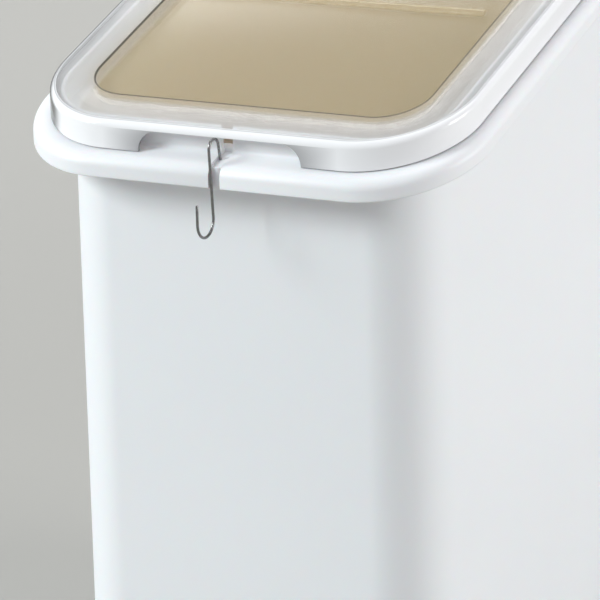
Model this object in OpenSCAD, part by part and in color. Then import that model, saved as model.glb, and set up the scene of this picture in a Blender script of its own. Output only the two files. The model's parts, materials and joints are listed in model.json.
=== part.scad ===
// Rice bin with a slanted two-part flip lid, on four casters.
// Millimetres, +Z up, front towards -Y. The origin is on the floor, under the middle of the whole bin.

/* [Bin] */
// Width over the rim lip
rim_w = 419; // [390:1:480]
// Length over the rim lip
rim_l = 749; // [680:1:820]
// Height from the floor to the top of the lid hinge
total_h = 787; // [700:1:820]
// Height of the casters, floor to the underside of the bin
caster_h = 100; // [96:1:120]
// Distance from the face of the lip in to the outside of the wall
wall_inset = 36; // [32:0.5:42]
// Wall thickness
wall_t = 4; // [3:0.5:6]
// Floor thickness
floor_t = 5; // [4:0.5:8]
// Corner radius of the wall, seen from above
corner_r = 54; // [44:1:60]
// Radius of the edge between wall and floor
bottom_r = 22; // [14:1:28]

/* [Rim] */
// Corner radius of the lip, seen from above
rim_r = 91; // [80:1:100]
// Depth of the lip below the flange top
lip_h = 18; // [12:0.5:24]
// Thickness of the lip and of the flange
flange_t = 4; // [3:0.5:5]
// Size of the stepped rounding along the top of the lip
lip_edge = 7; // [3:0.5:9]
// Distance from the face of the lip in to the face of the collar
collar_inset = 24.5; // [23:0.5:27]
// Thickness of the collar that stands up inside the lid
collar_t = 4; // [3:0.5:5]
// Air under the lid skirt and over the collar
lid_gap = 0.5; // [0.3:0.1:1.5]

/* [Lid] */
// Slope of the front lid, in degrees
lid_slope = 18; // [14:0.5:22]
// Length of the slanted front lid, seen from above
slope_l = 470; // [400:1:520]
// Distance from the face of the lip in to the edge of the lid's flat top
lid_inset = 17; // [16:0.5:18.5]
// Corner radius of the lid's flat top, seen from above
lid_r = 83; // [74:1:84]
// Sheet thickness of both lids
lid_t = 3; // [2:0.5:3.5]
// Depth of the lid skirt below the lid top
skirt_h = 24; // [18:0.5:30]
// Size of the stepped rounding between lid top and skirt
lid_edge = 5.2; // [3:0.2:6]
// Width of the flat band round the sunk panel
band_w = 36.5; // [30:0.5:42]
// Corner radius of the sunk panel
panel_r = 40; // [25:1:50]
// How deep the panel is sunk
panel_sink = 8; // [5:0.5:12]
// Gap between the two lids at the hinge
split_gap = 3; // [2:0.5:5]
// Depth of the stiffening rib under the edges at the hinge
edge_rib_h = 7; // [4:0.5:10]
// Width of the finger cut-out in the front skirt
arch_w = 152; // [110:1:180]
// Corner radius of the finger cut-out
arch_r = 18; // [10:0.5:18]
// Skirt left above the finger cut-out
arch_top = 5.5; // [5:0.5:8]
// Distance from the front of the lid to the rib across its panel
panel_rib_y = 214; // [150:1:260]
// Width of the rib across the panel
panel_rib_w = 8; // [4:0.5:14]
// Height of the rib across the panel
panel_rib_h = 1.6; // [1:0.2:4]

/* [Hinge] */
// Diameter of the hinge rod
rod_d = 5; // [4:0.5:6]
// Radial clearance of the rod in its knuckles
rod_clearance = 0.05; // [0.02:0.01:0.1]
// Outside diameter of the knuckles
knuckle_d = 12; // [10:0.5:14]
// Height of the hinge axis above the lid top
axis_lift = 7; // [6.5:0.5:9]
// Length of each front lid knuckle
knuckle_l = 30; // [20:1:40]
// Distance between the three groups of knuckles
knuckle_pitch = 120; // [90:1:140]
// Play between neighbouring knuckles
knuckle_play = 0.4; // [0.3:0.1:1]
// Reach of a knuckle's foot over the band
knuckle_foot = 14; // [10:0.5:18]
// Thickness of the push-on rod caps
cap_t = 5; // [4:0.5:8]

/* [Scoop hook] */
// Diameter of the hook wire
wire_d = 2.4; // [2:0.1:3]
// Radius of the upper bend, at the middle of the wire
crown_r = 8; // [7:0.25:8.5]
// Radius of the lower bend, at the middle of the wire
bend_r = 13.4; // [10:0.2:16]
// Drop from the centre of the upper bend to the centre of the lower bend
bend_drop = 57.5; // [50:0.1:70]
// How much further forward the lower bend's centre stands
bend_reach = 17.4; // [15:0.1:20]
// Length of the straight front leg above the lower bend
front_leg = 16.5; // [8:0.5:24]
// Straight short leg between the upper bend and the flange
short_leg = 10.7; // [10:0.1:12]
// Distance from the face of the lip in to the hook socket
socket_inset = 18; // [17.5:0.5:20]
// Forward lean of the hook's socket and short leg, in degrees
leg_tilt = 12; // [10:0.5:18]
// Width of the groove that the hook hangs in
groove_w = 10.6; // [9:0.2:14]
// Sideways place of the groove's middle
groove_x = 1.4; // [-0.4:0.2:1.6]
// Depth of the groove across the top of the flange
groove_h = 3; // [1:0.5:3.5]
// Depth of the groove in the face of the lip
groove_l = 6; // [4.5:0.5:8]
// Sideways place of the hook
hook_x = -2.2; // [-2.4:0.2:2]
// Depth of the socket below the flange top
socket_depth = 8; // [6:0.5:10]
// Radial clearance of the wire in its socket
socket_clearance = 0.1; // [0.05:0.05:0.3]

/* [Casters] */
// Wheel diameter
wheel_d = 76; // [70:1:78]
// Tyre width
tyre_w = 28; // [22:1:30]
// Tyre thickness
tyre_t = 8; // [5:0.5:10]
// Width of the wheel hub
hub_w = 34; // [31:0.5:34.5]
// Axle diameter
axle_d = 8; // [6:0.5:9]
// Outside diameter of the sleeve on the axle
sleeve_d = 12; // [11:0.5:14]
// Running clearance of turning parts, radial
run_clearance = 0.05; // [0.02:0.01:0.1]
// Room between the fork legs
fork_gap = 36; // [35.5:0.5:40]
// Thickness of the pressed steel
steel_t = 3; // [2.5:0.5:3.5]
// How far the swivel wheel trails behind its kingpin
trail = 28; // [22:1:32]
// Length of the top plate
plate_l = 95; // [92:1:105]
// Width of the top plate
plate_w = 67; // [64:1:75]
// Distance between the screw holes along the plate
hole_l = 75; // [73:1:80]
// Distance between the screw holes across the plate
hole_w = 45; // [43:1:50]
// Screw diameter
screw_d = 6; // [5:0.5:6.5]
// Length of the screw under its head
screw_l = 14; // [12:0.5:15]
// Kingpin diameter
kingpin_d = 10; // [8:0.5:12]
// Diameter of the swivel balls
ball_d = 5; // [4:0.25:5]
// Radius of the ring of balls
race_r = 18; // [16:0.5:19]
// Distance from the side wall in to the middle of a caster
caster_in_x = 62; // [58:1:68]
// Distance from the front or rear wall in to the middle of a caster
caster_in_y = 88; // [84:1:110]

/* [Hidden] */

$fn = 96;
eps = 0.01;
seat_gap = 0.3; // what rests on something stays this far off it

// The hook decides how far the bin reaches forward, and so where the middle of its length lies
wire_r = wire_d / 2;
hook_front = bend_reach + bend_r + wire_r + crown_r * cos(leg_tilt) + short_leg * sin(leg_tilt) - socket_inset;
front_y = (hook_front - rim_l) / 2;
back_y = front_y + rim_l;
mid_y = (front_y + back_y) / 2;

// Lid and roof line
knuckle_r = knuckle_d / 2;
rod_r = rod_d / 2;
top_z = total_h - axis_lift - knuckle_r;
lid_front_y = front_y + lid_inset;
crest_y = lid_front_y + slope_l;
front_edge_y = crest_y - split_gap / 2;
rear_edge_y = crest_y + split_gap / 2;
axis_z = top_z + axis_lift;
flange_h = skirt_h + lid_gap;
panel_inset = lid_inset + band_w;
rod_half = knuckle_pitch + knuckle_l + knuckle_play + seat_gap;

// Wall and rim
wall_front_y = front_y + wall_inset;
wall_back_y = back_y - wall_inset;
wall_half_w = rim_w / 2 - wall_inset;
reach = 3 * rim_l;

// Hook, in the upright plane through its socket
socket_y = front_y + socket_inset;
socket_top = roof(socket_y) - flange_h;
crown_y = socket_y - short_leg * sin(leg_tilt) - crown_r * cos(leg_tilt);
crown_z = socket_top + short_leg * cos(leg_tilt) - crown_r * sin(leg_tilt);
shank_l = sqrt(pow(bend_reach, 2) + pow(bend_drop, 2) - pow(crown_r + bend_r, 2));
shank_tilt = atan2(crown_r + bend_r, shank_l) - atan2(bend_reach, bend_drop);
boss_w = groove_w + 8;

// Casters
axle_r = axle_d / 2;
sleeve_r = sleeve_d / 2;
wheel_r = wheel_d / 2;
core_r = wheel_r - tyre_t;
caster_x = wall_half_w - caster_in_x;
caster_front_y = wall_front_y + caster_in_y;
caster_rear_y = wall_back_y - caster_in_y;
plate_r = 8;
race_gap = 2;
race_t = 3;
plate_under = caster_h - steel_t;
race_under = plate_under - race_t;
crown_top = race_under - race_gap;
crown_under = crown_top - steel_t;
ball_r = ball_d / 2;
ball_z = race_under - race_gap / 2;
ball_count = 16;
kingpin_r = kingpin_d / 2;
crown_plate_r = 30;
leg_end_r = 12;
leg_x = fork_gap / 2 + steel_t;
hex_r = axle_r + 2.6;
hex_h = 5.5;
nut_h = 6.5;
screw_r = screw_d / 2;
screw_head_r = screw_r + 2.5;
screw_head_h = 4;
pad_margin = 12;
pad_h = 8;

// Height of the lid top over the floor, along the length of the bin
function roof(y) = y < crest_y ? top_z - (crest_y - y) * tan(lid_slope) : top_z;

// Helpers

module rounded_rect(w, l, r) {
  square([w - 2 * r, l], center = true);
  square([w, l - 2 * r], center = true);
  for (x = [-1, 1], y = [-1, 1])
    translate([x * (w / 2 - r), y * (l / 2 - r)]) circle(r);
}

// Outline that lies a given distance inside the face of the lip, seen from above
module inset_outline(inset, r) {
  translate([0, mid_y]) rounded_rect(rim_w - 2 * inset, rim_l - 2 * inset, r);
}

module column(z0 = -1, z1 = total_h) {
  translate([0, 0, z0]) linear_extrude(z1 - z0) children();
}

// Layer between two depths under the roof line
module roof_layer(h0, h1, y0 = -reach, y1 = reach) {
  bend = (y0 < crest_y && y1 > crest_y) ? [crest_y] : [];
  ys = concat([y0], bend, [y1]);
  n = len(ys);
  upper = [for (y = ys) [y, roof(y) - h0]];
  lower = [for (i = [n - 1:-1:0]) [ys[i], roof(ys[i]) - h1]];
  rotate([90, 0, 90]) linear_extrude(2 * rim_w, center = true) polygon(concat(upper, lower));
}

// Filled sheet that follows the roof line. r0 is the corner radius of an outline with no inset
module sheet(inset, r0, h0, h1, y0 = -reach, y1 = reach) {
  intersection() {
    column() inset_outline(inset, r0 - inset);
    roof_layer(h0, h1, y0, y1);
  }
}

// The same between two outlines
module band(inset0, inset1, r0, h0, h1, y0 = -reach, y1 = reach) {
  intersection() {
    column() difference() {
      inset_outline(inset0, r0 - inset0);
      inset_outline(inset1, r0 - inset1);
    }
    roof_layer(h0, h1, y0, y1);
  }
}

// Solid tub with a rounded bottom edge
module tub(w, l, r, edge_r, z0, z1) {
  translate([0, mid_y, 0]) {
    translate([0, 0, z0 + edge_r]) linear_extrude(z1 - z0 - edge_r) rounded_rect(w, l, r);
    translate([0, 0, z0])
      linear_extrude(edge_r + eps) rounded_rect(w - 2 * edge_r, l - 2 * edge_r, r - edge_r);
    for (y = [-1, 1])
      translate([0, y * (l / 2 - edge_r), z0 + edge_r])
        rotate([0, 90, 0]) cylinder(r = edge_r, h = w - 2 * r, center = true);
    for (x = [-1, 1])
      translate([x * (w / 2 - edge_r), 0, z0 + edge_r])
        rotate([90, 0, 0]) cylinder(r = edge_r, h = l - 2 * r, center = true);
    for (x = [-1, 1], y = [-1, 1])
      translate([x * (w / 2 - r), y * (l / 2 - r), z0 + edge_r])
        rotate_extrude() translate([r - edge_r, 0]) circle(edge_r);
  }
}

module x_cylinder(r, l, fn = $fn) {
  rotate([0, 90, 0]) cylinder(r = r, h = l, center = true, $fn = fn);
}

module at_casters() {
  for (x = [-1, 1], y = [caster_front_y, caster_rear_y])
    translate([x * caster_x, y, 0]) children();
}

module at_screws() {
  for (x = [-1, 1], y = [-1, 1])
    translate([x * hole_w / 2, y * hole_l / 2, 0]) children();
}

// Bin

module bin_rim() {
  collar_in = collar_inset + collar_t;
  // Flange
  sheet(lip_edge * 0.6, rim_r, flange_h, flange_h + flange_t);
  // Stepped rounding from the flange down to the lip
  band(lip_edge * 0.2, 2 * lip_edge, rim_r, flange_h + lip_edge * 0.2, flange_h + flange_t + 0.5);
  // Lip
  band(0, flange_t, rim_r, flange_h + lip_edge * 0.6, flange_h + lip_h);
  // Collar
  band(collar_inset, collar_in, rim_r, lid_t + lid_gap, flange_h + flange_t);
}

// Block behind the lip that carries the hook
module hook_boss() {
  intersection() {
    translate([groove_x - boss_w / 2, front_y + flange_t / 2, 0])
      cube([boss_w, wall_inset + (wall_t - flange_t) / 2, total_h]);
    roof_layer(flange_h + 1, flange_h + lip_h);
  }
}

// Groove over the flange and down the lip, cut through the collar
module hook_groove() {
  translate([groove_x - groove_w / 2, front_y - 1, 0])
    cube([groove_w, groove_l + 1, total_h]);
  intersection() {
    translate([groove_x - groove_w / 2, front_y - 1, 0])
      cube([groove_w, collar_inset + collar_t + 2, total_h]);
    roof_layer(-reach, flange_h + groove_h);
  }
}

module bin_body() {
  inner_w = 2 * (wall_half_w - wall_t);
  inner_l = wall_back_y - wall_front_y - 2 * wall_t;
  color("white")
    difference() {
      union() {
        intersection() {
          tub(2 * wall_half_w, wall_back_y - wall_front_y, corner_r, bottom_r, caster_h, total_h);
          roof_layer(flange_h + eps, reach);
        }
        bin_rim();
        hook_boss();
      }
      difference() {
        tub(inner_w, inner_l, corner_r - wall_t, bottom_r - wall_t, caster_h + floor_t, 2 * total_h);
        // Raised pads that take the caster screws
        at_casters()
          translate([0, 0, caster_h + floor_t / 2])
            linear_extrude(floor_t / 2 + pad_h)
              rounded_rect(hole_w + 2 * pad_margin, hole_l + 2 * pad_margin, plate_r);
      }
      hook_groove();
      translate([hook_x, socket_y, socket_top]) rotate([leg_tilt, 0, 0])
        translate([0, 0, -socket_depth]) cylinder(r = wire_r + socket_clearance, h = 2 * socket_depth);
      at_casters() at_screws()
        translate([0, 0, caster_h - eps])
          cylinder(r = screw_r + run_clearance, h = screw_l - steel_t + seat_gap);
    }
}

// Lids

module lid_shell(y0, y1) {
  r0 = lid_r + lid_inset;
  skirt_inset = lid_inset - lid_edge;
  top_edge = lid_edge * 0.3;
  step_edge = lid_edge * 0.75;
  step_h = lid_edge * 0.2;
  edge_h = lid_edge * 0.55;
  panel_y0 = max(y0, front_y + lid_inset) + band_w;
  panel_y1 = min(y1, back_y - lid_inset) - band_w;
  panel_mid = (panel_y0 + panel_y1) / 2;
  panel_w = rim_w - 2 * panel_inset;
  panel_l = panel_y1 - panel_y0;
  difference() {
    union() {
      // Top sheet, with a stepped rounding down to the skirt
      sheet(lid_inset - top_edge, r0, 0, lid_t, y0, y1);
      band(lid_inset - step_edge, lid_inset + lid_t, r0, step_h, edge_h + lid_t, y0, y1);
      band(skirt_inset, skirt_inset + lid_t, r0, edge_h, skirt_h, y0, y1);
      // Wall of the sunk panel
      intersection() {
        column() translate([0, panel_mid])
          rounded_rect(panel_w + 2 * lid_t, panel_l + 2 * lid_t, panel_r + lid_t);
        roof_layer(lid_t / 2, panel_sink + lid_t, y0, y1);
      }
    }
    // Sunk panel
    intersection() {
      column() translate([0, panel_mid]) rounded_rect(panel_w, panel_l, panel_r);
      roof_layer(-reach, panel_sink, y0, y1);
    }
  }
}

module knuckle(x, l, side) {
  foot = [
    [side * knuckle_r, 0],
    [side * knuckle_foot, roof(crest_y + side * knuckle_foot) - axis_z - lid_t / 3],
    [side * split_gap / 2, roof(crest_y + side * split_gap / 2) - axis_z - lid_t / 3],
    [side * split_gap / 2, 0]
  ];
  translate([x, crest_y, axis_z]) {
    x_cylinder(knuckle_r, l);
    rotate([90, 0, 90]) linear_extrude(l, center = true) polygon(foot);
  }
}

module rod_bore() {
  translate([0, crest_y, axis_z]) x_cylinder(rod_r + rod_clearance, 2 * rim_w);
}

module edge_rib(y) {
  half = rim_w / 2 - collar_inset - collar_t - 4;
  intersection() {
    translate([-half, y, 0]) cube([2 * half, lid_t, total_h]);
    roof_layer(lid_t / 2, lid_t + edge_rib_h);
  }
}

module front_lid() {
  color([0.86, 0.85, 0.8, 0.45])
    difference() {
      union() {
        lid_shell(front_y - 1, front_edge_y);
        edge_rib(front_edge_y - lid_t);
        // Rib across the panel
        intersection() {
          translate([panel_inset + 20 - rim_w / 2, lid_front_y + panel_rib_y, 0])
            cube([rim_w - 2 * panel_inset - 40, panel_rib_w, total_h]);
          roof_layer(panel_sink - panel_rib_h, panel_sink + lid_t / 2);
        }
        for (i = [-1:1]) knuckle(i * knuckle_pitch, knuckle_l, -1);
      }
      rod_bore();
      // Finger cut-out
      translate([0, front_y, roof(lid_front_y) - arch_top])
        rotate([-90, 0, 0]) linear_extrude(lid_inset + 2 * lid_t) arch_outline();
    }
}

// The arch, drawn downwards from its top edge
module arch_outline() {
  drop = 2 * skirt_h;
  translate([-arch_w / 2, arch_r]) square([arch_w, drop]);
  translate([-arch_w / 2 + arch_r, 0]) square([arch_w - 2 * arch_r, drop]);
  for (x = [-1, 1]) translate([x * (arch_w / 2 - arch_r), arch_r]) circle(arch_r);
}

module rear_lid() {
  side_l = knuckle_l / 2;
  color([0.86, 0.85, 0.8, 0.45])
    difference() {
      union() {
        lid_shell(rear_edge_y, back_y + 1);
        edge_rib(rear_edge_y);
        for (i = [-1:1], s = [-1, 1])
          knuckle(i * knuckle_pitch + s * (knuckle_l / 2 + knuckle_play + side_l / 2), side_l, 1);
      }
      rod_bore();
    }
}

module hinge_rod() {
  color("silver") translate([0, crest_y, axis_z]) x_cylinder(rod_r, 2 * rod_half + 2 * cap_t - 4);
}

module hinge_rod_caps() {
  color("gainsboro")
    for (s = [-1, 1])
      translate([s * (rod_half + cap_t / 2), crest_y, axis_z])
        difference() {
          x_cylinder(rod_r + 2, cap_t);
          translate([-s * 1.5, 0, 0]) x_cylinder(rod_r + rod_clearance, cap_t);
        }
}

// Hook

// The wire is drawn as one closed skin round its middle line: rings of points, [y, z, side angle]
function arc_ring(y, z, r, a, turn) = [y + r * cos(a), z + r * sin(a), a + turn];

function hook_rings() =
  let (
    n = 12,
    leg = short_leg + socket_depth - seat_gap,
    y1 = crown_r * cos(leg_tilt) + leg * sin(leg_tilt),
    z1 = crown_r * sin(leg_tilt) - leg * cos(leg_tilt),
    crown_turn = 180 + shank_tilt - leg_tilt,
    bend_turn = 180 + shank_tilt
  )
  concat(
    [[y1, z1, leg_tilt]],
    [for (i = [0:n]) arc_ring(0, 0, crown_r, leg_tilt + crown_turn * i / n, 0)],
    [for (i = [0:n]) arc_ring(-bend_reach, -bend_drop, bend_r, 360 + shank_tilt - bend_turn * i / n, -180)],
    [[-bend_reach - bend_r, front_leg - bend_drop, 0]]
  );

module scoop_hook() {
  rings = hook_rings();
  sides = 16;
  count = len(rings);
  points = [
    for (q = rings, i = [0:sides - 1])
      let (a = i * 360 / sides, out = wire_r * cos(a))
      [wire_r * sin(a), q[0] + out * cos(q[2]), q[1] + out * sin(q[2])]
  ];
  walls = [
    for (j = [0:count - 2], i = [0:sides - 1])
      let (k = (i + 1) % sides)
      [j * sides + k, (j + 1) * sides + k, (j + 1) * sides + i, j * sides + i]
  ];
  first_end = [for (i = [sides - 1:-1:0]) i];
  last_end = [for (i = [0:sides - 1]) (count - 1) * sides + i];
  color("silver")
    translate([hook_x, crown_y, crown_z]) polyhedron(points, concat(walls, [first_end, last_end]));
}

// Casters, each drawn about its own middle line

module plate_outline() {
  difference() {
    rounded_rect(plate_w, plate_l, plate_r);
    for (x = [-1, 1], y = [-1, 1])
      translate([x * hole_w / 2, y * hole_l / 2]) circle(screw_r + seat_gap);
  }
}

module race_groove() {
  translate([0, 0, ball_z])
    rotate_extrude() translate([race_r, 0]) circle(ball_r + run_clearance, $fn = 48);
}

module swivel_plate() {
  color("silver")
    difference() {
      union() {
        translate([0, 0, plate_under]) linear_extrude(steel_t) plate_outline();
        translate([0, 0, race_under]) cylinder(r = race_r + 6, h = race_t + eps);
      }
      translate([0, 0, race_under - 1]) cylinder(r = kingpin_r + run_clearance, h = steel_t + race_t + 2);
      translate([0, 0, caster_h - 1.5]) cylinder(r = kingpin_r + 3 + run_clearance, h = 2);
      race_groove();
    }
}

module kingpin() {
  color("gray") {
    translate([0, 0, crown_under - 3]) cylinder(r = kingpin_r, h = caster_h - 0.3 - crown_under + 3);
    translate([0, 0, caster_h - 1.5 + eps]) cylinder(r = kingpin_r + 3, h = 1.2 - eps);
    translate([0, 0, crown_under - 3]) cylinder(r = kingpin_r + 4, h = 3 - seat_gap);
  }
}

module swivel_balls() {
  color("gray")
    for (i = [0:ball_count - 1])
      rotate([0, 0, i * 360 / ball_count]) translate([race_r, 0, ball_z]) sphere(ball_r, $fn = 32);
}

module fork_legs(y_axle, top_z, top_front, top_back) {
  for (s = [-1, 1])
    translate([s * (leg_x - steel_t / 2), 0, 0])
      rotate([90, 0, 90]) linear_extrude(steel_t, center = true) {
        polygon([
          [top_front, top_z], [top_back, top_z],
          [y_axle + leg_end_r, wheel_r], [y_axle - leg_end_r, wheel_r]
        ]);
        translate([y_axle, wheel_r]) circle(leg_end_r);
      }
}

module axle_hole(y_axle) {
  translate([0, y_axle, wheel_r]) x_cylinder(axle_r + run_clearance, 4 * leg_x);
}

module swivel_fork() {
  color("silver")
    difference() {
      union() {
        intersection() {
          translate([0, 0, crown_under]) cylinder(r = crown_plate_r, h = steel_t);
          translate([-leg_x, -crown_plate_r, 0]) cube([2 * leg_x, 2 * crown_plate_r, caster_h]);
        }
        fork_legs(trail, crown_under + steel_t / 2, -18, 20);
      }
      translate([0, 0, crown_under - 1]) cylinder(r = kingpin_r + run_clearance, h = steel_t + 2);
      race_groove();
      axle_hole(trail);
    }
}

module fixed_fork() {
  color("silver")
    difference() {
      union() {
        translate([0, 0, plate_under]) linear_extrude(steel_t) plate_outline();
        fork_legs(0, plate_under + steel_t / 2, -25, 25);
      }
      axle_hole(0);
    }
}

module axle(y_axle) {
  color("gray")
    translate([0, y_axle, wheel_r]) {
      translate([nut_h / 2 + 1, 0, 0]) x_cylinder(axle_r, 2 * leg_x + nut_h + 2 + eps);
      translate([-leg_x - hex_h / 2, 0, 0]) x_cylinder(hex_r, hex_h, 6);
    }
}

module axle_nut(y_axle) {
  color("gray")
    translate([leg_x + nut_h / 2, y_axle, wheel_r])
      difference() {
        x_cylinder(hex_r, nut_h, 6);
        x_cylinder(axle_r + run_clearance, 2 * nut_h);
      }
}

module sleeve(y_axle) {
  color("gray")
    translate([0, y_axle, wheel_r])
      difference() {
        x_cylinder(sleeve_r, fork_gap - 2 * seat_gap);
        x_cylinder(axle_r + run_clearance, 2 * fork_gap);
      }
}

// Half section of the wheel core, radius by width
module core_section() {
  hub_r = sleeve_r + 5;
  bore = sleeve_r + run_clearance;
  rim_t = 4;
  translate([bore, -hub_w / 2]) square([hub_r - bore, hub_w]);
  translate([hub_r - eps, -4]) square([core_r - hub_r - rim_t + 2 * eps, 8]);
  translate([core_r - rim_t, -tyre_w / 2 + 1]) square([rim_t, tyre_w - 2]);
}

module wheel(y_axle) {
  color("dimgray")
    translate([0, y_axle, wheel_r])
      rotate([0, 90, 0]) rotate_extrude() core_section();
}

module tyre(y_axle) {
  edge = tyre_t * 0.45;
  color([0.25, 0.25, 0.26])
    translate([0, y_axle, wheel_r])
      rotate([0, 90, 0]) rotate_extrude() {
        translate([core_r, -tyre_w / 2]) square([tyre_t - edge, tyre_w]);
        translate([core_r, -tyre_w / 2 + edge]) square([tyre_t, tyre_w - 2 * edge]);
        for (s = [-1, 1]) translate([wheel_r - edge, s * (tyre_w / 2 - edge)]) circle(edge);
      }
}

module caster_screws() {
  color("gray")
    at_casters() at_screws() {
      translate([0, 0, plate_under]) cylinder(r = screw_r, h = screw_l);
      translate([0, 0, plate_under - screw_head_h])
        cylinder(r = screw_head_r, h = screw_head_h, $fn = 6);
    }
}

module front_left() {
  translate([-caster_x, caster_front_y, 0]) children();
}

module front_right() {
  translate([caster_x, caster_front_y, 0]) children();
}

module rear_left() {
  translate([-caster_x, caster_rear_y, 0]) children();
}

module rear_right() {
  translate([caster_x, caster_rear_y, 0]) children();
}

bin_body();
front_lid();
rear_lid();
hinge_rod();
hinge_rod_caps();
scoop_hook();
caster_screws();
front_left() swivel_plate();  // front_left_plate
front_left() kingpin();  // front_left_kingpin
front_left() swivel_balls();  // front_left_balls
front_left() swivel_fork();  // front_left_fork
front_left() axle(trail);  // front_left_axle
front_left() axle_nut(trail);  // front_left_axle_nut
front_left() sleeve(trail);  // front_left_sleeve
front_left() wheel(trail);  // front_left_wheel
front_left() tyre(trail);  // front_left_tyre
front_right() swivel_plate();  // front_right_plate
front_right() kingpin();  // front_right_kingpin
front_right() swivel_balls();  // front_right_balls
front_right() swivel_fork();  // front_right_fork
front_right() axle(trail);  // front_right_axle
front_right() axle_nut(trail);  // front_right_axle_nut
front_right() sleeve(trail);  // front_right_sleeve
front_right() wheel(trail);  // front_right_wheel
front_right() tyre(trail);  // front_right_tyre
rear_left() fixed_fork();  // rear_left_fork
rear_left() axle(0);  // rear_left_axle
rear_left() axle_nut(0);  // rear_left_axle_nut
rear_left() sleeve(0);  // rear_left_sleeve
rear_left() wheel(0);  // rear_left_wheel
rear_left() tyre(0);  // rear_left_tyre
rear_right() fixed_fork();  // rear_right_fork
rear_right() axle(0);  // rear_right_axle
rear_right() axle_nut(0);  // rear_right_axle_nut
rear_right() sleeve(0);  // rear_right_sleeve
rear_right() wheel(0);  // rear_right_wheel
rear_right() tyre(0);  // rear_right_tyre
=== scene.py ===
"""Looks of the rolling rice bin: moulded tub, two-part clear lid, wire hook and casters.

Lengths in the tub, lid, hook and caster classes are in millimetres, as on the maker's drawing,
and are turned into metres when a mesh is finished. Lamps, camera place and world are in metres.
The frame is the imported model's own: +Z up, front to -Y.
"""

import json
import logging
import math
from dataclasses import dataclass, field
from enum import Enum
from typing import Callable, Iterable, Sequence

import bmesh
import bpy
from mathutils import Matrix, Vector


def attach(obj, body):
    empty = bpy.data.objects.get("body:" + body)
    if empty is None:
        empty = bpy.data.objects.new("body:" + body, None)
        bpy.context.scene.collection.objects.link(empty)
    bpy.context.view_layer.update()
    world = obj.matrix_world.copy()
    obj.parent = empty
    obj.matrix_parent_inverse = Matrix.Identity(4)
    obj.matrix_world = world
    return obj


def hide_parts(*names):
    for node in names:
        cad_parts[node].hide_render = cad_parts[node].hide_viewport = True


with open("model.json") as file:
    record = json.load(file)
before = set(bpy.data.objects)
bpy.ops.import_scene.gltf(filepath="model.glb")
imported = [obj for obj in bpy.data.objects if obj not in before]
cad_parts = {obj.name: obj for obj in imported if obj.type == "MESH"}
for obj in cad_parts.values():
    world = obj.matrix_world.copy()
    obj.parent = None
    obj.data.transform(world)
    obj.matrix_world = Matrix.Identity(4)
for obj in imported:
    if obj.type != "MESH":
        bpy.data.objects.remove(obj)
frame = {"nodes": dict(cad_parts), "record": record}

LOG = logging.getLogger("rice_bin")
MM = 0.001
# While the tub is built flat, heights are measured from the roof line down to this floor level
FLOOR_LEVEL = -1000.0
# Gaps in millimetres: merged points, a plane cut, points on one level, points on the hinge edge
MERGE_GAP = 0.0005
CUT_GAP = 0.001
LEVEL_GAP = 1e-4
END_GAP = 0.01
# Angles in radians above which an edge counts as sharp
SHARP = 0.6
VERY_SHARP = 1.2
ROUND = 0.5
# Numbers of the Mix node's sockets for values and for colours
FLOAT_A, FLOAT_B, FLOAT_OUT = 2, 3, 0
COLOUR_A, COLOUR_B, COLOUR_OUT = 6, 7, 2


class Lighting(Enum):
    """The lamps of the soft studio."""

    KEY = "key"
    SIDE = "side"
    TOP = "top"
    BACK = "back"


class Surface(Enum):
    """How a mesh is shaded."""

    SMOOTH = 0.6
    CRISP = 0.35


# Plan and roof line


@dataclass(frozen=True)
class RoofLine:
    """The slanting front and flat rear of the lid top, seen from the side."""

    crest_y: float = 124.525
    top_z: float = 774.0
    slope: float = 18.0

    def height(self, y: float) -> float:
        """Returns the height of the lid top at a place along the bin.

        Args:
            y: Place along the bin's length.

        Returns:
            The height over the floor.
        """
        drop = max(0.0, self.crest_y - y) * math.tan(math.radians(self.slope))
        return self.top_z - drop

    def plane(self, y: float) -> float:
        """Returns the height of the sloping plane, carried on past the crest."""
        return self.top_z - (self.crest_y - y) * math.tan(math.radians(self.slope))


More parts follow.
